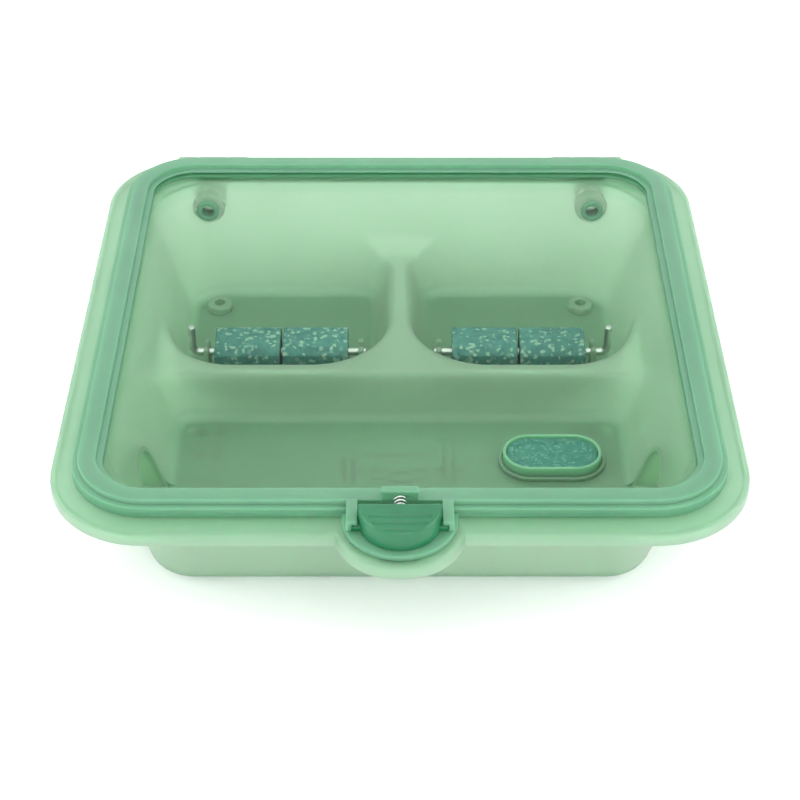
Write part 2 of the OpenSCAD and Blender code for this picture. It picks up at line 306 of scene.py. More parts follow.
# %% Profiles that run round
def sweep_round(profile, centres, steps=10, closed=True):
    """Carries a profile of (distance out, height) points round a path that turns about the
    centres, each by an equal share of a full turn."""
    bm = bmesh.new()
    verts = [bm.verts.new((0, -out, height)) for out, height in profile]
    ends = list(zip(verts, verts[1:])) + ([(verts[-1], verts[0])] if closed else [])
    edges = [bm.edges.new(pair) for pair in ends]
    start = Vector((0, centres[0][1], 0))
    last = start
    for centre in [Vector((*c, 0)) for c in centres] + [start]:
        if (centre - last).length > 0.001:
            made = bmesh.ops.extrude_edge_only(bm, edges=edges)["geom"]
            fresh = only(bmesh.types.BMVert, made)
            bmesh.ops.translate(bm, vec=centre - last, verts=fresh)
            edges = [e for e in only(bmesh.types.BMEdge, made) if set(e.verts) <= set(fresh)]
            last = centre
        if centre is not start:
            made = bmesh.ops.spin(bm, geom=edges, cent=centre, axis=(0, 0, 1),
                                  angle=math.tau / len(centres), steps=steps)["geom_last"]
            edges = only(bmesh.types.BMEdge, made)
    bmesh.ops.remove_doubles(bm, verts=bm.verts, dist=0.001)
    bmesh.ops.recalc_face_normals(bm, faces=bm.faces)
    return bm


def mirrored(bm):
    """Adds the mirror image on the left of everything on the right."""
    copy = bmesh.ops.duplicate(bm, geom=bm.verts[:] + bm.edges[:] + bm.faces[:])["geom"]
    bmesh.ops.scale(bm, vec=(-1, 1, 1), verts=only(bmesh.types.BMVert, copy))
    bmesh.ops.reverse_faces(bm, faces=only(bmesh.types.BMFace, copy))


trial = sweep_round([(5, 0), (6, 0), (6, 1)], [(10, 0), (-10, 0)])
print("a three-sided bar round an oval has", len(trial.faces), "faces")
trial.free()

# %% [markdown]
# ## Finishes
# The tray and the lid are injection-moulded polypropylene, tinted jade green and let light
# through, like a frosted food box. Light that enters a wall spreads inside it and leaves on the
# other side, so the shader adds subsurface scattering with a reach of a few millimetres to some
# transmission. The mould is lightly grained, which breaks up the gloss. Its grain is drawn
# coarser than real, so that it shows.


# %% Moulded polypropylene
def moulded_polypropylene(name, deep, pale, clear):
    """Tinted see-through plastic: faint flow clouds 40 mm wide, gloss that wanders, and the
    mould's grain of 0.35 mm."""
    material, tree, inputs, place = new_material(
        name, IOR=1.49, Transmission_Weight=clear, Subsurface_Weight=0.8,
        Subsurface_Scale=4 * MM, Subsurface_Radius=(0.45, 1.0, 0.6))
    clouds = add(tree, "TexNoise", {"Vector": place}, Scale=1 / (40 * MM), Detail=3)
    add(tree, "ValToRGB", {"Fac": clouds}, inputs["Base Color"], ((0.35, deep), (0.65, pale)))
    blotches = add(tree, "TexNoise", {"Vector": place}, Scale=1 / (9 * MM))
    add(tree, "MapRange", {"Value": blotches}, inputs["Roughness"], To_Min=0.3, To_Max=0.42)
    grit = add(tree, "TexNoise", {"Vector": place}, Scale=1 / (0.35 * MM))
    add(tree, "Bump", {"Height": grit}, inputs["Normal"], Distance=0.02 * MM)
    return material


tray_plastic = moulded_polypropylene("polypropylene moulded jade", "BAD6BE", "C0DBC4", 0.64)
lid_plastic = moulded_polypropylene("polypropylene moulded green", "78B894", "82C09C", 0.55)
dish_plastic = moulded_polypropylene("polypropylene moulded dish", "8EC7A3", "98CFAC", 0.35)
sleeve_plastic = moulded_polypropylene("polypropylene moulded sleeve", "A2C8A8", "AAD0B0", 0.5)
print("made", tray_plastic.name, "and three more")

# %% [markdown]
# The tray looks deeper green at the rim and the floor and paler on the walls in between, which is
# painted shade: the floor lies in the tray's own shadow, and at the rim light runs further through
# the plastic. A ramp from the table to the rim paints that in: its colours multiply the plastic's
# own, and white leaves it as it is.

# %% Painted shade at floor and rim
TOP = 48                         # height of the tray's flange
tree = tray_plastic.node_tree
colour = tree.nodes["Principled BSDF"].inputs["Base Color"]
height = add(tree, "SeparateXYZ", {"Vector": add(tree, "TexCoord").outputs["Object"]})
climb = add(tree, "MapRange", {"Value": height.outputs["Z"]}, From_Max=TOP * MM)
# painted shade: the ramp darkens the colour near the floor and at the rim
painted_shade_ramp = add(tree, "ValToRGB", {"Fac": climb},
           stops=((0, "C4E4D2"), (0.14, "FFFFFF"), (0.88, "FFFFFF"), (1, "CFEBDA")))
painted_shade_colour = add(tree, "Mix", {6: colour.links[0].from_socket, 7: painted_shade_ramp}, data_type="RGBA",
             blend_type="MULTIPLY", Factor=1)
tree.links.new(painted_shade_colour.outputs[2], colour)
print("the tray's tint has", len(painted_shade_ramp.color_ramp.elements), "stops")

# %% [markdown]
# ## The tray's skin
# The real tray is one skin of even thickness: the wells, the T-shaped divider and the flange are
# all the same sheet of plastic. So it is made as one surface first and thickened afterwards. A
# grid is laid over it, with lines close together where walls and fillets are, and each point is
# lifted to a height worked out from its distance to the outlines of the wells.

# %% Sizes of the tray
RIM = (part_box("base_tray")[1] / MM).x   # half width of the flange
FLOOR = 2.2                      # thickness of the floor and walls
DRAFT = 0.3                      # a wall leans out this much for each millimetre of height
DIVIDER = 20                     # height of the T-shaped divider
CORNER = RIM - 33                # the flange's corners turn about this distance, both ways
WALL_TURN = 70                   # and the walls' corners about this one
FOOT_HALF = 85                   # half width of the foot the tray stands on
FLOOR_HALF = FOOT_HALF - FLOOR + DRAFT * FLOOR
FLANK = DRAFT * (DIVIDER - FLOOR)
CAVITY_HALF = FLOOR_HALF + FLANK
BAR_FRONT = 1.1                  # the divider's bar at the floor, front and back
BAR_BACK = BAR_FRONT + 2 * FLANK + 6
STEM_FOOT = 4 + FLANK            # half width of the divider's stem at the floor
FLOOR_FILLET = 4.5
DIVIDER_FILLET = 9
RIM_ROUND = 2                    # the wall rounds over into the flange
EDGE_ROUND = 1.6                 # and the flange into its lip
SKIRT = 5                        # depth of the lip
TONGUE_Y = -RIM + 5.5            # middle and radius of the tongue
TONGUE_R = 21
FLOOR_TURN = FLOOR_HALF - WALL_TURN
FRONT_WELL = (-FLOOR_HALF, FLOOR_HALF, -FLOOR_HALF, BAR_FRONT,
              (FLOOR_TURN, FLOOR_TURN, 6, 6))
BACK_WELL = (STEM_FOOT, FLOOR_HALF, BAR_BACK, FLOOR_HALF, (24.6, 20, FLOOR_TURN, 8))
LEAN = math.atan(1 / DRAFT)
print("cavity", round(2 * CAVITY_HALF), "mm wide at the divider")


# %% Height of the skin
def outside(x, y, x0, x1, y0, y1, radii):
    """Distance from a rounded rectangle in plan, below 0 inside it."""
    cx, cy = (x0 + x1) / 2, (y0 + y1) / 2
    back, right = y > cy, x > cx
    radius = radii[(2 if right else 3) if back else (1 if right else 0)]
    qx = abs(x - cx) - (x1 - x0) / 2 + radius
    qy = abs(y - cy) - (y1 - y0) / 2 + radius
    return math.hypot(max(qx, 0), max(qy, 0)) + min(max(qx, qy), 0) - radius


def leaning_wall(distance, foot, fillet):
    """Height of a wall at a distance past its foot, with a round fillet at the foot."""
    run = fillet * math.tan(LEAN / 2)
    if distance <= -run:
        return foot
    if distance < fillet * math.sin(LEAN) - run:
        return foot + fillet - math.sqrt(fillet ** 2 - (distance + run) ** 2)
    return foot + distance / DRAFT


def under_the_rim(distance):
    """The cavity's wall above the divider, rounded over into the flange."""
    edge = DRAFT * (TOP - DIVIDER) + RIM_ROUND * math.tan(LEAN / 2)
    if distance >= edge:
        return TOP
    if distance > edge - RIM_ROUND * math.sin(LEAN):
        return TOP - RIM_ROUND + math.sqrt(RIM_ROUND ** 2 - (edge - distance) ** 2)
    return leaning_wall(distance, DIVIDER, DIVIDER_FILLET)


def softer_lower(a, b, blend):
    """The lower of two heights, eased over where they cross."""
    near = max(blend - abs(a - b), 0) / blend
    return min(a, b) - near * near * blend / 4


def skin_height(x, y):
    """Height of the skin at a place: the wells' floors and walls, under the rim's."""
    cavity = outside(x, y, -CAVITY_HALF, CAVITY_HALF, -CAVITY_HALF, CAVITY_HALF,
                     (CAVITY_HALF - WALL_TURN,) * 4)
    ceiling = under_the_rim(cavity)
    well = min(leaning_wall(outside(x, y, *FRONT_WELL), FLOOR, FLOOR_FILLET),
               leaning_wall(outside(abs(x), y, *BACK_WELL), FLOOR, FLOOR_FILLET))
    return softer_lower(well, ceiling, 5 * min(max(-cavity / 6, 0.01), 1))


print("floor", skin_height(50, -40), "divider", round(skin_height(30, 9.5), 1),
      "flange", skin_height(99, 0))


# %% Lay the grid and lift it
def lines(*bands):
    """Places of grid lines from bands of (start, end, step)."""
    places = [bands[0][0]]
    for start, end, step in bands:
        count = round((end - start) / step)
        places += [start + (end - start) * (i + 1) / count for i in range(count)]
    return places


EDGE = 99.5                      # the grid ends on the flat of the flange
half_lines = lines((0, 24, 0.9), (24, 79, 1.7), (79, EDGE, 0.7))
grid_x = [-x for x in reversed(half_lines[1:])] + half_lines
grid_y = lines((-EDGE, -79, 0.7), (-79, -3, 1.7), (-3, 22, 0.75), (22, 44, 1.2), (44, 79, 1.7),
               (79, EDGE, 0.7))
skin = bmesh.new()
bmesh.ops.create_grid(skin, x_segments=len(grid_x) - 1, y_segments=len(grid_y) - 1, size=1)
for vert in skin.verts:
    x = grid_x[round((vert.co.x + 1) / 2 * (len(grid_x) - 1))]
    y = grid_y[round((vert.co.y + 1) / 2 * (len(grid_y) - 1))]
    vert.co = (x, y, skin_height(x, y))
print("skin has", len(skin.faces), "faces")

# %% [markdown]
# The flange grows out of the grid's edge: its border is extruded to the outline of the rim, over
# a small round and down to make the lip. The outline is a square with round corners joined to the
# tongue's circle, so each border point is sent straight out from the middle to whichever is
# further away.


# %% Flange, lip and tongue
def rim_reach(angle, inset):
    """Distance from the middle to the rim's outline, brought in by inset."""
    ray = Vector((math.cos(angle), math.sin(angle)))
    half, turn = RIM - inset, RIM - CORNER - inset
    reach = min(half / max(abs(ray.x), 1e-9), half / max(abs(ray.y), 1e-9))
    hit = reach * ray
    if min(abs(hit.x), abs(hit.y)) > CORNER:
        across = CORNER * (abs(ray.x) + abs(ray.y))
        reach = across + math.sqrt(across ** 2 - 2 * CORNER ** 2 + turn ** 2)
    tongue, along = TONGUE_R - inset, TONGUE_Y * ray.y
    gap = along ** 2 - TONGUE_Y ** 2 + tongue ** 2
    return max(reach, along + math.sqrt(gap)) if gap > 0 and along > 0 else reach


def grow_border(bm, inset, height):
    """Extrudes the open border to the rim's outline, at a height."""
    border = [edge for edge in bm.edges if edge.is_boundary]
    made = bmesh.ops.extrude_edge_only(bm, edges=border)["geom"]
    for vert in only(bmesh.types.BMVert, made):
        angle = math.atan2(vert.co.y, vert.co.x)
        reach = rim_reach(angle, inset)
        vert.co = (reach * math.cos(angle), reach * math.sin(angle), height)


grow_border(skin, EDGE_ROUND, TOP)
for step in range(1, 5):
    angle = math.radians(90 * step / 4)
    grow_border(skin, EDGE_ROUND * (1 - math.sin(angle)), TOP - EDGE_ROUND * (1 - math.cos(angle)))
grow_border(skin, 0, TOP - SKIRT)
bmesh.ops.recalc_face_normals(skin, faces=skin.faces)
if sum(face.normal.z for face in skin.faces) < 0:
    bmesh.ops.reverse_faces(skin, faces=skin.faces)
tray = piece_from(skin, "tray_shell")
wall = tray.modifiers.new("wall", "SOLIDIFY")
wall.thickness = FLOOR * MM
wall.offset = -1
wall.use_even_offset = True
settle(tray)
print("tray with wall:", len(tray.data.polygons), "faces")

# %% [markdown]
# Posts for the bait rods, bosses for screws, the ring that holds the lure dish and the hinge
# knuckles are moulded with the tray, so they are joined on with a boolean union. The solids in
# one union or cut never overlap each other, because the fast solver needs clean shapes.

# %% Moulded fittings
rod_low, rod_high = (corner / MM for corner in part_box("bait_rod_right"))
dish_low, dish_high = (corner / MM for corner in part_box("lure_dish"))
pin_low, pin_high = (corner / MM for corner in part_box("hinge_pin_right"))
sleeve_low, sleeve_high = (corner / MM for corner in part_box("entry_sleeve_right"))
grommet_low, grommet_high = (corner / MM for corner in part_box("wall_grommet_right"))
ROD_R = (rod_high.y - rod_low.y) / 2
ROD_Y = (rod_high.y + rod_low.y) / 2
ROD_Z = rod_low.z + ROD_R
HINGE = Vector((0, (pin_low.y + pin_high.y) / 2, (pin_low.z + pin_high.z) / 2))
KNUCKLE_R = 2.6
KNUCKLES = ((62, 70), (82, 90))  # the tray's knuckles along the pin, with the lid's between
BOSS = Vector(((grommet_low.x + grommet_high.x) / 2, grommet_low.y + 1.65,
               (grommet_low.z + grommet_high.z) / 2))
FLOOR_SCREW = 73
SCREW_R = 2.25
POSTS = (14, 73.5)               # the posts' near sides, each 2 mm thick
DISH = Vector(((dish_low.x + dish_high.x) / 2, (dish_low.y + dish_high.y) / 2, 0))
DISH_R = (dish_high.y - dish_low.y) / 2
DISH_SPAN = (dish_high.x - dish_low.x) / 2 - DISH_R

fittings = bmesh.new()
for x in POSTS:
    eased_block(fittings, (x, ROD_Y - 4, 1.5), (x + 2, ROD_Y + 4, ROD_Z + 3.5), 0.5, 3)
for sign in (-1, 1):
    place = (FLOOR_SCREW, sign * FLOOR_SCREW)
    peg(fittings, (*place, 1), (*place, 5.2), 5, 0.8)
peg(fittings, BOSS, (BOSS.x, RIM, BOSS.z), 6.5, 0.8)
mirrored(fittings)
carve(tray, fittings, "UNION")
knuckles = bmesh.new()
for x0, x1 in KNUCKLES:
    peg(knuckles, (x0, HINGE.y, HINGE.z), (x1, HINGE.y, HINGE.z), KNUCKLE_R, 0.4)
mirrored(knuckles)
carve(tray, knuckles, "UNION")

ring = sweep_round([(DISH_R + 0.3, 1.5), (DISH_R + 0.3, 3.6), (DISH_R + 0.5, 3.8),
                    (DISH_R + 1.4, 3.8), (DISH_R + 1.6, 3.6), (DISH_R + 1.6, 1.5)],
                   [(DISH_SPAN, 0), (-DISH_SPAN, 0)], steps=20)
bmesh.ops.translate(ring, vec=DISH, verts=ring.verts)
carve(tray, ring, "UNION")
print("tray with fittings:", len(tray.data.polygons), "faces")

# %% [markdown]
# The entries are arches through the side walls, and the sleeves that line them are arches too. An
# arch is drawn as its foot and a half turn about its middle, and pulled through the wall.

# %% Arch of the entries
ENTRY_Y = (sleeve_low.y + sleeve_high.y) / 2
ENTRY_HALF = (sleeve_high.y - sleeve_low.y) / 2 + 0.05
ARCH_Z = sleeve_high.z + 0.05 - ENTRY_HALF


def arch(bm, half, foot, arch_z, x0, x1):
    """A solid arch that runs from x0 to x1 in the side wall, standing at foot."""
    corners = [bm.verts.new((x0, ENTRY_Y + side * half, foot)) for side in (-1, 1)]
    spring = bm.verts.new((x0, ENTRY_Y + half, arch_z))
    curve = bmesh.ops.spin(bm, geom=[spring], cent=(x0, ENTRY_Y, arch_z), axis=(1, 0, 0),
                           angle=math.pi, steps=24)
    last = only(bmesh.types.BMVert, curve["geom_last"])[0]
    edges = [bm.edges.new(pair) for pair in ((corners[0], corners[1]), (corners[1], spring),
                                             (last, corners[0]))]
    arc = [edge for edge in bm.edges if edge.is_wire and edge not in edges]
    pull(bm, bmesh.ops.contextual_create(bm, geom=edges + arc)["faces"], (x1 - x0, 0, 0))
    bmesh.ops.recalc_face_normals(bm, faces=bm.faces)


print("the entries are", round(2 * ENTRY_HALF, 1), "mm wide")

# %% [markdown]
# The cuts come in four goes: the entries, screw holes and grips for the rods, then the slots
# above the grips and the gaps for the lid's knuckles, then the bores for the hinge pins, and last
# the slot of the latch.

# %% Openings in the tray
SLOT_HALF = 6.6                  # the latch's slot
SLOT_FRONT = TONGUE_Y - 10.3
SLOT_BACK = TONGUE_Y - 2.5
NOTCH = KNUCKLE_R + 0.4
GRIP_R = ROD_R + 0.05
holes = bmesh.new()
arch(holes, ENTRY_HALF, FLOOR, ARCH_Z, 74, 104)
for sign in (-1, 1):
    place = (FLOOR_SCREW, sign * FLOOR_SCREW)
    peg(holes, (*place, -1), (*place, 9), SCREW_R)
peg(holes, (BOSS.x, BOSS.y - 2, BOSS.z), (BOSS.x, BOSS.y + 4, BOSS.z), 3.6)
for x in POSTS:
    peg(holes, (x - 1, ROD_Y, ROD_Z), (x + 3, ROD_Y, ROD_Z), GRIP_R)
mirrored(holes)
carve(tray, holes)

holes = bmesh.new()
peg(holes, (BOSS.x, BOSS.y + 3, BOSS.z), (BOSS.x, RIM + 1, BOSS.z), SCREW_R)
for x in POSTS:
    block(holes, (x - 1, ROD_Y - GRIP_R, ROD_Z), (x + 3, ROD_Y + GRIP_R, ROD_Z + 8))
block(holes, (70, HINGE.y - NOTCH, HINGE.z - NOTCH), (82, HINGE.y + NOTCH, HINGE.z + NOTCH))
mirrored(holes)
carve(tray, holes)

holes = bmesh.new()
for x0, x1 in KNUCKLES:
    peg(holes, (x0 - 0.7, HINGE.y, HINGE.z), (x1 + 0.7, HINGE.y, HINGE.z), 1.26, sides=24)
mirrored(holes)
carve(tray, holes)

slot = bmesh.new()
eased_block(slot, (-SLOT_HALF, SLOT_FRONT, TOP - 8), (SLOT_HALF, SLOT_BACK, TOP + 2), 1, 3)
carve(tray, slot)
finish_piece(tray, "tray", tray_plastic, "base_tray")

# %% [markdown]
# ## The lid
# The frame of the lid is one profile that runs round the square: a plate with a raised bead, a
# groove underneath for the gasket, and a groove inside for the window. The tongue, the rails for
# the latch, the stop for its spring and the hinge knuckles are joined to it.

# %% Sizes of the lid
LID = 107                        # half width of the frame
LID_FOOT = 48.3                  # the frame rests just above the flange
PLATE = (49, 52)                 # underside and top of the plate
BEAD = (99, 105, 54)             # the bead from inside to outside, and its top
INNER = 97                       # the frame's opening
SEAL = (100, 104, 50)            # the gasket's groove and its ceiling
PANE = (99.4, 50.25, 51.35)      # the window's half width, underside and top
LUG = (KNUCKLES[0][1] + 0.4, KNUCKLES[1][0] - 0.4)
CORNERS = [(CORNER, -CORNER), (CORNER, CORNER), (-CORNER, CORNER), (-CORNER, -CORNER)]
LID_TONGUE_R = 18.5
button_low, button_high = (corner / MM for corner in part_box("latch_button"))
spring_low, spring_high = (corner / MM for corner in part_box("latch_spring"))
SPRING_Z = (spring_low.z + spring_high.z) / 2


def ease_corners(bm, size, segments=2):
    """Eases every edge where the surface turns by more than 50 degrees."""
    turn = math.radians(50)
    ease(bm, [e for e in bm.edges if e.is_manifold and e.calc_face_angle(0) > turn], size, segments)


def keep_in_front(bm, y):
    """Cuts a solid at a depth and keeps the part nearer the front."""
    cut = bmesh.ops.bisect_plane(bm, geom=bm.verts[:] + bm.edges[:] + bm.faces[:], dist=0.0001,
                                 plane_co=(0, y, 0), plane_no=(0, 1, 0), clear_outer=True)
    rim = only(bmesh.types.BMEdge, cut["geom_cut"])
    bmesh.ops.contextual_create(bm, geom=rim)


print("the lid's frame is", LID - INNER, "mm wide")

# %% [markdown]
# The frame's profile is drawn from the outer foot up over the bead, in to the window's groove,
# and back past the gasket's. The tongue starts as a round plate, cut off where the frame begins.

# %% Lid frame
frame_profile = [(LID, LID_FOOT), (LID, PLATE[1]), (BEAD[1], PLATE[1]), (BEAD[1], BEAD[2]),
                 (BEAD[0], BEAD[2]), (BEAD[0], PLATE[1]), (INNER, PLATE[1]), (INNER, PANE[2] + 0.05),
                 (PANE[0] + 0.05, PANE[2] + 0.05), (PANE[0] + 0.05, PANE[1] - 0.05),
                 (INNER, PANE[1] - 0.05), (INNER, PLATE[0]), (SEAL[0], PLATE[0]),
                 (SEAL[0], SEAL[2]), (SEAL[1], SEAL[2]), (SEAL[1], PLATE[0]),
                 (LID - 1.8, PLATE[0]), (LID - 1.8, LID_FOOT)]
frame_ring = sweep_round(frame_profile, CORNERS, steps=16)
ease_corners(frame_ring, 0.28)
lid = piece_from(frame_ring, "lid_rim")

tongue = bmesh.new()
peg(tongue, (0, TONGUE_Y, LID_FOOT), (0, TONGUE_Y, PLATE[0] + 1.4), LID_TONGUE_R, 0.5, 96)
keep_in_front(tongue, 1.8 - LID)
carve(lid, tongue, "UNION")
rail_side = ((15.2, TONGUE_Y - 7, PLATE[0] + 0.1), (17, 2 - LID, 54.5))
rail_cap = ((13.4, TONGUE_Y - 7, 52.8), (16.4, 2 - LID, 54.5))
hinge_arm = ((LUG[0], LID - 1, LID_FOOT), (LUG[1], HINGE.y, HINGE.z + KNUCKLE_R))
for low, high in (rail_side, rail_cap, hinge_arm):
    lug = bmesh.new()
    eased_block(lug, low, high, 0.3)
    mirrored(lug)
    carve(lid, lug, "UNION")
knuckle = bmesh.new()
peg(knuckle, (LUG[0], HINGE.y, HINGE.z), (LUG[1], HINGE.y, HINGE.z), KNUCKLE_R, 0.3)
mirrored(knuckle)
carve(lid, knuckle, "UNION")
stop = bmesh.new()
eased_block(stop, (-6, -BEAD[1], PLATE[1] - 0.1), (6, 3 - BEAD[1], 57.5), 0.6, 3)
carve(lid, stop, "UNION")

bores = bmesh.new()
eased_block(bores, (-SLOT_HALF, SLOT_FRONT, LID_FOOT - 2), (SLOT_HALF, SLOT_BACK, PLATE[0] + 2),
            1, 3)
for x in (69, -83):
    peg(bores, (x, HINGE.y, HINGE.z), (x + 14, HINGE.y, HINGE.z), 1.3, sides=24)
carve(lid, bores)
finish_piece(lid, "lid", lid_plastic, "lid_frame")

# %% [markdown]
# The gasket fills the groove and reaches down to the flange with two soft lips. It is moulded
# silicone rubber, matt and dense. The profile is one lip and its mirror image.

# %% Gasket
LIP = TOP + 0.2
seal_middle = (SEAL[0] + SEAL[1]) / 2
half_lip = ((1.95, SEAL[2]), (1.95, 49.2), (1.3, LIP), (0.7, LIP), (0.4, 49))
seal_profile = [(seal_middle + out, z) for out, z in half_lip]
seal_profile += [(seal_middle - out, z) for out, z in reversed(half_lip)]

seal_rubber, tree, inputs, place = new_material("rubber silicone green", Roughness=0.62, IOR=1.41,
                                                Subsurface_Weight=0.3, Subsurface_Scale=1 * MM)
clouds = add(tree, "TexNoise", {"Vector": place}, Scale=1 / (3 * MM))
add(tree, "ValToRGB", {"Fac": clouds}, inputs["Base Color"],
    ((0.35, "3F8C66"), (0.65, "4A9B72")))
grit = add(tree, "TexNoise", {"Vector": place}, Scale=1 / (0.2 * MM))
add(tree, "Bump", {"Height": grit}, inputs["Normal"], Distance=0.015 * MM)
seal = piece_from(sweep_round(seal_profile, CORNERS, steps=16), "lid_gasket")
finish_piece(seal, "lid", seal_rubber, "lid_seal")

# %% [markdown]
# The window is a flat clear pane, so it is only seen where it mirrors the room. A pane lets light
# straight through, and glass shading would darken all that lies under it. So it is a transparent
# shader with a little gloss, which grows as the view grazes the pane. Back faces get none, because
# they would mirror the inside a second time.


# %% Window
def round_plate(half, radius, z0, z1, size=0.25):
    """A flat square plate with round corners and eased edges."""
    bm = bmesh.new()
    verts = bmesh.ops.create_grid(bm, x_segments=1, y_segments=1, size=half)["verts"]
    bmesh.ops.bevel(bm, geom=verts, offset=radius, offset_type="OFFSET", segments=14,
                    profile=0.5, affect="VERTICES", clamp_overlap=True, material=-1)
    pull(bm, bm.faces[:], (0, 0, z1 - z0))
    bmesh.ops.translate(bm, vec=(0, 0, z0), verts=bm.verts)
    bmesh.ops.recalc_face_normals(bm, faces=bm.faces)
    ease(bm, [edge for edge in bm.edges if any(len(face.verts) > 4 for face in edge.link_faces)],
         size)
    return bm


clear_pane = bpy.data.materials.new("polycarbonate clear sheet")
clear_pane.use_nodes = True
tree = clear_pane.node_tree
tree.nodes.clear()
waves = add(tree, "TexNoise", {"Vector": add(tree, "TexCoord").outputs["Object"]},
            Scale=1 / (30 * MM))
flatness = add(tree, "Bump", {"Height": waves}, Distance=0.02 * MM)
through = add(tree, "BsdfTransparent", Color=linear("F6FBF7"))
gloss = add(tree, "BsdfGlossy", {"Normal": flatness}, Roughness=0.06)
graze = add(tree, "Fresnel", {"Normal": flatness}, IOR=1.2)
behind = add(tree, "NewGeometry").outputs["Backfacing"]
front = add(tree, "Math", {1: behind}, operation="SUBTRACT", Value=1)
mirror = add(tree, "Math", {0: graze, 1: front}, operation="MULTIPLY")
mix = add(tree, "MixShader", {"Fac": mirror, 1: through, 2: gloss})
add(tree, "OutputMaterial", {"Surface": mix})
pane = piece_from(round_plate(PANE[0], PANE[0] - CORNER, PANE[1], PANE[2]), "window_pane")
finish_piece(pane, "lid", clear_pane, "lid_window")

# %% [markdown]
# ## The latch
# The button is a half disc with a straight back, moulded in a darker and denser plastic than the
# tray. It slides on the lid's tongue between two rails. Its outline is two short sides and a half
# turn between them, filled, pulled up and rounded over along the top.

# %% Latch plastic
latch_plastic, tree, inputs, place = new_material("polypropylene moulded dark green", IOR=1.49,
                                                  Subsurface_Weight=0.25,
                                                  Subsurface_Scale=1.5 * MM)
clouds = add(tree, "TexNoise", {"Vector": place}, Scale=1 / (12 * MM))
add(tree, "ValToRGB", {"Fac": clouds}, inputs["Base Color"],
    ((0.35, "15623E"), (0.65, "1B6C46")))
blotches = add(tree, "TexNoise", {"Vector": place}, Scale=1 / (6 * MM))
add(tree, "MapRange", {"Value": blotches}, inputs["Roughness"], To_Min=0.3, To_Max=0.4)
grit = add(tree, "TexNoise", {"Vector": place}, Scale=1 / (0.3 * MM))
add(tree, "Bump", {"Height": grit}, inputs["Normal"], Distance=0.02 * MM)
print("made", latch_plastic.name)

# %% Head of the latch button
BUTTON_R = (button_high.x - button_low.x) / 2 - 1.8
BUTTON_Y = TONGUE_Y - 3
BUTTON_TOP = button_high.z
BUTTON_FOOT = 50.7

head = bmesh.new()
back = head.verts.new((-BUTTON_R, button_high.y, BUTTON_FOOT))
side = bmesh.ops.extrude_vert_indiv(head, verts=[back])["verts"]
bmesh.ops.translate(head, vec=(0, BUTTON_Y - button_high.y, 0), verts=side)
turned = bmesh.ops.spin(head, geom=side, cent=(0, BUTTON_Y, BUTTON_FOOT), axis=(0, 0, 1),
                        angle=math.pi, steps=48)["geom_last"]
side = bmesh.ops.extrude_vert_indiv(head, verts=only(bmesh.types.BMVert, turned))["verts"]
bmesh.ops.translate(head, vec=(0, button_high.y - BUTTON_Y, 0), verts=side)
head.edges.new((side[0], back))
bmesh.ops.contextual_create(head, geom=head.edges[:])
pull(head, head.faces[:], (0, 0, BUTTON_TOP - BUTTON_FOOT))
bmesh.ops.recalc_face_normals(head, faces=head.faces)
brow = [e for e in head.edges if all(v.co.z > BUTTON_TOP - 0.01 for v in e.verts)]
ease(head, brow, 1.6, 5)
button = piece_from(head, "latch_thumb_button")
print("button's head has", len(button.data.polygons), "faces")

# %% [markdown]
# Under the head lie a slide as wide as the rails allow, and a hook that reaches down through the
# slot and forward, under the tray's tongue. Three grooves across the top give a thumb some grip,
# and a bore in the back takes the spring.

# %% Slide, hook and grooves
HOOK_Y = button_low.y + 2.6
slide = ((button_low.x, TONGUE_Y - 7, BUTTON_FOOT), (button_high.x, button_high.y, 52.5), 0.3, 2)
shank = ((-6, HOOK_Y, button_low.z), (6, HOOK_Y + 2.6, BUTTON_FOOT + 0.6), 0.3, 2)
barb = ((-6, button_low.y, button_low.z), (6, HOOK_Y + 0.5, button_low.z + 2.8), 0.5, 3)
for low, high, size, segments in (slide, shank, barb):
    addition = bmesh.new()
    eased_block(addition, low, high, size, segments)
    carve(button, addition, "UNION")
grip = bmesh.new()
peg(grip, (0, TONGUE_Y - 8.5, SPRING_Z), (0, button_high.y + 2, SPRING_Z), 2.5, sides=32)
for row, reach in ((-14.6, 6), (-11.4, 8.5), (-8.2, 10)):
    groove = (TONGUE_Y + row, BUTTON_TOP + 0.45)
    peg(grip, (-reach, *groove), (reach, *groove), 0.95, 0.4, 24)
carve(button, grip)
finish_piece(button, "latch", latch_plastic, "latch_button")

# %% [markdown]
# ## Steel wire
# The spring, the bait rods and the hinge pins are bright zinc-plated steel. Wire is drawn through
# a die, which leaves fine lines along it, here coarser than real so that they show. The lines are
# a noise whose lumps a Mapping node stretches along X.


# %% Drawn steel
def drawn_steel(name, grit_mm):
    """Bright zinc on steel, with drawn lines along X and faint blotches of plating."""
    material, tree, inputs, place = new_material(name, Metallic=1.0)
    blotches = add(tree, "TexNoise", {"Vector": place}, Scale=1 / (5 * MM))
    add(tree, "ValToRGB", {"Fac": blotches}, inputs["Base Color"],
        ((0.35, "B9BDBB"), (0.65, "CFD2CF")))
    along = add(tree, "Mapping", {"Vector": place}, Scale=(0.06, 1, 1))
    sheen = add(tree, "TexNoise", {"Vector": along}, Scale=1 / (grit_mm * MM), Detail=3)
    add(tree, "MapRange", {"Value": sheen}, inputs["Roughness"], To_Min=0.22, To_Max=0.42)
    lines_drawn = add(tree, "TexNoise", {"Vector": along}, Scale=1 / (grit_mm * MM))
    add(tree, "Bump", {"Height": lines_drawn}, inputs["Normal"], Distance=0.008 * MM)
    return material


steel = drawn_steel("steel zinc plated wire", 0.3)
print("made", steel.name)
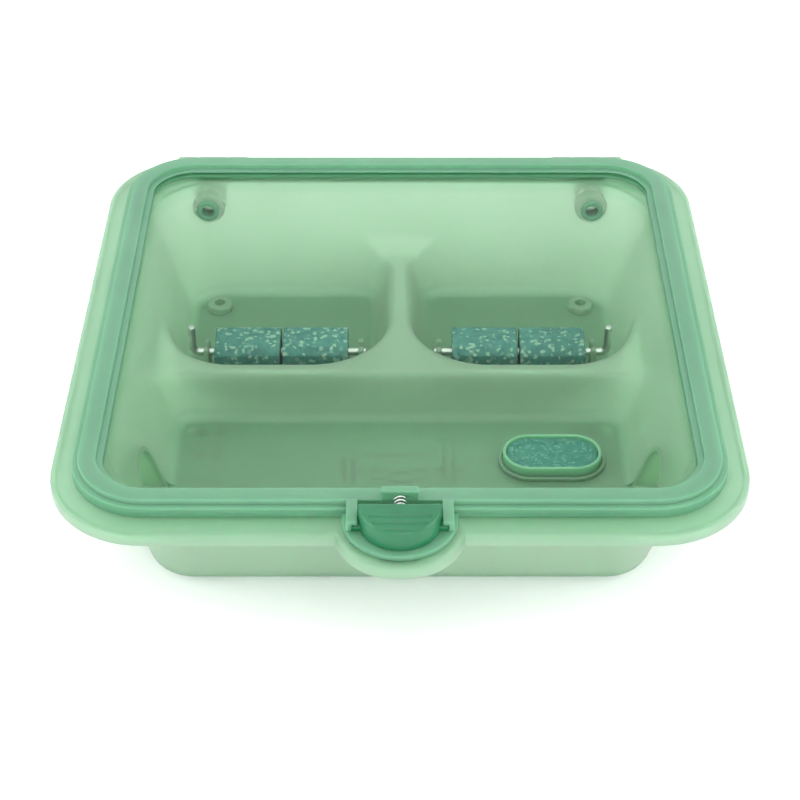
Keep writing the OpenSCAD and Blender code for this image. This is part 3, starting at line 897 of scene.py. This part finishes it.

# %% [markdown]
# The spring is a ring of wire that is spun about the spring's axis while it moves along it, and
# closed at both ends. It sits between the button and the lid.

# %% Latch spring
WIRE_R = 0.35
COIL_R = (spring_high.x - spring_low.x) / 2 - WIRE_R
TURNS = 7
STEPS = TURNS * 24
spring_length = spring_high.y - spring_low.y
coil = bmesh.new()
start = Vector((COIL_R, spring_low.y + WIRE_R, SPRING_Z))
bmesh.ops.create_circle(coil, cap_ends=False, radius=WIRE_R, segments=10,
                        matrix=Matrix.Translation(start))
wire = coil.edges[:]
pitch = (spring_length - 2 * WIRE_R) / STEPS
last = bmesh.ops.spin(coil, geom=wire, cent=(0, start.y, SPRING_Z), axis=(0, 1, 0),
                      dvec=(0, pitch, 0), angle=math.tau * TURNS, steps=STEPS)["geom_last"]
bmesh.ops.contextual_create(coil, geom=wire)
bmesh.ops.contextual_create(coil, geom=only(bmesh.types.BMEdge, last))
bmesh.ops.recalc_face_normals(coil, faces=coil.faces)
spring = piece_from(coil, "latch_coil_spring")
finish_piece(spring, "lid", steel, "latch_spring")
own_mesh(spring)

# %% [markdown]
# A bait rod is straight wire with its end bent up as a handle: a disc pulled along, spun a
# quarter turn, and pulled up. A hinge pin is a plain peg.


# %% Rods and pins
def bent_rod(side):
    """The rod on one side, with the faces left inside it at each bend deleted."""
    wire = bmesh.new()
    bend_x = rod_high.x - ROD_R - BEND_R
    bmesh.ops.create_circle(wire, cap_ends=True, radius=ROD_R, segments=28,
                            matrix=Matrix.Translation((rod_low.x, ROD_Y, ROD_Z))
                            @ Matrix.Rotation(math.pi / 2, 4, "Y"))
    end = pull(wire, wire.faces[:], (bend_x - rod_low.x, 0, 0))
    curved = bmesh.ops.spin(wire, geom=end, cent=(bend_x, ROD_Y, ROD_Z + BEND_R), axis=(0, -1, 0),
                            angle=math.pi / 2, steps=10)["geom_last"]
    pull(wire, only(bmesh.types.BMFace, curved), (0, 0, rod_high.z - ROD_Z - BEND_R))
    inner = [f for f in wire.faces if len(f.verts) > 4 and rod_low.x + 1 < f.calc_center_median().x
             and f.calc_center_median().z < rod_high.z - 1]
    bmesh.ops.delete(wire, geom=inner, context="FACES_ONLY")
    ease(wire, [e for e in wire.edges
                if e.is_manifold and any(len(f.verts) > 4 for f in e.link_faces)], 0.7, 4)
    bmesh.ops.scale(wire, vec=(side, 1, 1), verts=wire.verts)
    bmesh.ops.recalc_face_normals(wire, faces=wire.faces)
    return wire


BEND_R = 3
for side, name in ((1, "right"), (-1, "left")):
    rod = piece_from(bent_rod(side), "bait_wire_" + name)
    finish_piece(rod, "rod_" + name, steel, "bait_rod_" + name)
    pin = bmesh.new()
    peg(pin, (side * pin_low.x, HINGE.y, HINGE.z), (side * pin_high.x, HINGE.y, HINGE.z),
        (pin_high.z - pin_low.z) / 2, 0.35, 32)
    pin = piece_from(pin, "hinge_axle_" + name)
    finish_piece(pin, "tray", steel, "hinge_pin_" + name)

# %% [markdown]
# ## The bait
# A bait block is pressed from wax and crushed grain: an eight-sided bar with a hole down the
# middle. The wax is a little see-through. Flecks of grain show at the surface as paler and darker
# spots, and the surface dips and rises with them.


# %% Wax with grain in it
def pressed_bait(name, deep, pale, fleck, fleck_mm):
    """Wax with crushed grain: three colours in spots, and a lumpy surface."""
    material, tree, inputs, place = new_material(name, IOR=1.43, Subsurface_Weight=0.35,
                                                 Subsurface_Scale=1.5 * MM)
    clouds = add(tree, "TexNoise", {"Vector": place}, Scale=1 / (4 * MM), Detail=4)
    wax = add(tree, "ValToRGB", {"Fac": clouds}, stops=((0.35, deep), (0.65, pale)))
    cells = add(tree, "TexVoronoi", {"Vector": place}, Scale=1 / (fleck_mm * MM))
    chance = add(tree, "SeparateColor", {"Color": cells.outputs["Color"]})
    few = add(tree, "MapRange", {"Value": chance.outputs["Red"]}, From_Min=0.8, From_Max=0.9)
    mixed = add(tree, "Mix", {0: few, 6: wax}, data_type="RGBA")
    mixed.inputs[7].default_value = linear(fleck)
    tree.links.new(mixed.outputs[2], inputs["Base Color"])
    add(tree, "MapRange", {"Value": chance.outputs["Green"]}, inputs["Roughness"],
        To_Min=0.45, To_Max=0.75)
    add(tree, "Bump", {"Height": cells.outputs["Distance"]}, inputs["Normal"],
        Distance=0.25 * MM)
    return material


bait_wax = pressed_bait("wax block teal grain", "3D726D", "4B827A", "86A897", 1.3)
lure_paste = pressed_bait("wax paste teal pressed", "3E7D74", "498A7E", "6FA393", 0.8)
print("made", bait_wax.name, "and", lure_paste.name)

# %% [markdown]
# Four bars hang on the two rods. Each is a box whose long edges are cut flat, which gives it its
# eight sides. All its edges are then rounded, and the hole for the rod is carved out.

# %% Bait blocks
for side, name in ((1, "right"), (-1, "left")):
    for place in ("inner", "outer"):
        node = "bait_block_" + name + "_" + place
        low, high = (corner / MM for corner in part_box(node))
        bar = bmesh.new()
        block(bar, low, high)
        ease(bar, [e for e in bar.edges if abs(e.verts[0].co.x - e.verts[1].co.x) > 1], 2.5, 1)
        ease(bar, bar.edges[:], 0.6, 3)
        wax = piece_from(bar, "wax_block_" + name + "_" + place)
        bore = bmesh.new()
        peg(bore, (low.x - 1, ROD_Y, ROD_Z), (high.x + 1, ROD_Y, ROD_Z), ROD_R + 0.3, sides=32)
        carve(wax, bore)
        finish_piece(wax, "rod_" + name, bait_wax, node)

# %% [markdown]
# The lure dish and its tablet are both ovals. A profile is carried round the oval, and the rings
# that stay open in the middle, top and bottom, are filled flat.


# %% Lure dish and tablet
def oval_solid(profile, size):
    """A profile carried round the dish's oval, with its open rings filled flat."""
    bm = sweep_round(profile, [(DISH_SPAN, 0), (-DISH_SPAN, 0)], steps=24, closed=False)
    bmesh.ops.holes_fill(bm, edges=[e for e in bm.edges if e.is_boundary], sides=0)
    bmesh.ops.recalc_face_normals(bm, faces=bm.faces)
    ease_corners(bm, size, 3)
    bmesh.ops.translate(bm, vec=DISH, verts=bm.verts)
    return bm


tablet_low, tablet_high = (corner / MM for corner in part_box("lure_tablet"))
TABLET_R = (tablet_high.y - tablet_low.y) / 2
DISH_WALL = 1.2
dish = piece_from(oval_solid([(DISH_R, dish_low.z), (DISH_R, dish_high.z),
                              (DISH_R - DISH_WALL, dish_high.z),
                              (DISH_R - DISH_WALL, dish_low.z + DISH_WALL)], 0.45), "lure_tray")
finish_piece(dish, "dish", dish_plastic, "lure_dish")
tablet = piece_from(oval_solid([(TABLET_R, tablet_low.z), (TABLET_R, tablet_high.z),
                                (TABLET_R - 2.2, tablet_high.z),
                                (TABLET_R - 2.8, tablet_high.z - 0.6)], 0.3), "lure_cake")
finish_piece(tablet, "dish", lure_paste, "lure_tablet")

# %% [markdown]
# ## Entries and fixings
# A sleeve lines each entry. Its inner end is cut along the slope of the wall, so nothing stands
# into the well, and its outer mouth is rounded for the animal. The left one is the right one
# mirrored, with its faces turned the right way out again.

# %% Entry sleeves
SLEEVE_WALL = 1.5
for side, name in ((1, "right"), (-1, "left")):
    tube = bmesh.new()
    arch(tube, ENTRY_HALF - 0.05, sleeve_low.z, ARCH_Z, 72, sleeve_high.x)
    ease(tube, [e for e in tube.edges if all(v.co.x > 100 for v in e.verts)], 0.6, 3)
    sleeve = piece_from(tube, "entry_liner_" + name)
    inside = bmesh.new()
    arch(inside, ENTRY_HALF - SLEEVE_WALL, sleeve_low.z + SLEEVE_WALL - 0.05, ARCH_Z, 70, 105)
    carve(sleeve, inside)
    slope = bmesh.new()
    block(slope, (40, ENTRY_Y - 30, -20), (FOOT_HALF - FLOOR, ENTRY_Y + 30, 50))
    for vert in slope.verts:
        if vert.co.x > 80:
            vert.co.x += DRAFT * vert.co.z
    carve(sleeve, slope)
    if side < 0:
        sleeve.data.transform(Matrix.Scale(-1, 4, (1, 0, 0)))
        sleeve.data.flip_normals()
    finish_piece(sleeve, "tray", sleeve_plastic, "entry_sleeve_" + name)

# %% [markdown]
# The grommets are soft dark rubber, which keeps the wall screws from cracking the plastic. They
# are turned: a profile is spun once round the screw's axis and closed on itself.

# %% Wall grommets
grommet_rubber, tree, inputs, place = new_material("rubber elastomer dark green", Roughness=0.7)
clouds = add(tree, "TexNoise", {"Vector": place}, Scale=1 / (2 * MM))
add(tree, "ValToRGB", {"Fac": clouds}, inputs["Base Color"],
    ((0.35, "558F70"), (0.65, "5F9A7B")))
grit = add(tree, "TexNoise", {"Vector": place}, Scale=1 / (0.25 * MM))
add(tree, "Bump", {"Height": grit}, inputs["Normal"], Distance=0.02 * MM)

BORE_R, HEAD_R, SHANK_R = 2.5, 4.4, 3.55
grommet_profile = [(BORE_R, grommet_low.y), (HEAD_R, grommet_low.y), (HEAD_R, BOSS.y - 0.05),
                   (SHANK_R, BOSS.y - 0.05), (SHANK_R, grommet_high.y), (BORE_R, grommet_high.y)]
for side, name in ((1, "right"), (-1, "left")):
    turned = bmesh.new()
    ring = [turned.verts.new((side * BOSS.x + out, y, BOSS.z)) for out, y in grommet_profile]
    outline = [turned.edges.new(pair) for pair in zip(ring, ring[1:] + ring[:1])]
    bmesh.ops.spin(turned, geom=outline, cent=(side * BOSS.x, 0, BOSS.z), axis=(0, 1, 0),
                   angle=math.tau, steps=36, use_merge=True)
    bmesh.ops.recalc_face_normals(turned, faces=turned.faces)
    ease_corners(turned, 0.3)
    grommet = piece_from(turned, "screw_grommet_" + name)
    finish_piece(grommet, "tray", grommet_rubber, "wall_grommet_" + name)

# %% [markdown]
# ## Floor
# The floor is a wide pale sheet, there only to catch a soft shadow.

# %% Floor
paper, tree, inputs, place = new_material("paper matt white", Roughness=0.9)
clouds = add(tree, "TexNoise", {"Vector": place}, Scale=1 / (60 * MM))
add(tree, "ValToRGB", {"Fac": clouds}, inputs["Base Color"], ((0.35, "FAFAFA"), (0.65, "FCFCFC")))
ground = bmesh.new()
bmesh.ops.create_grid(ground, x_segments=1, y_segments=1, size=3000)
floor = piece_from(ground, "floor")
floor.data.materials.append(paper)
print("the floor is", round(floor.dimensions.x), "m wide")
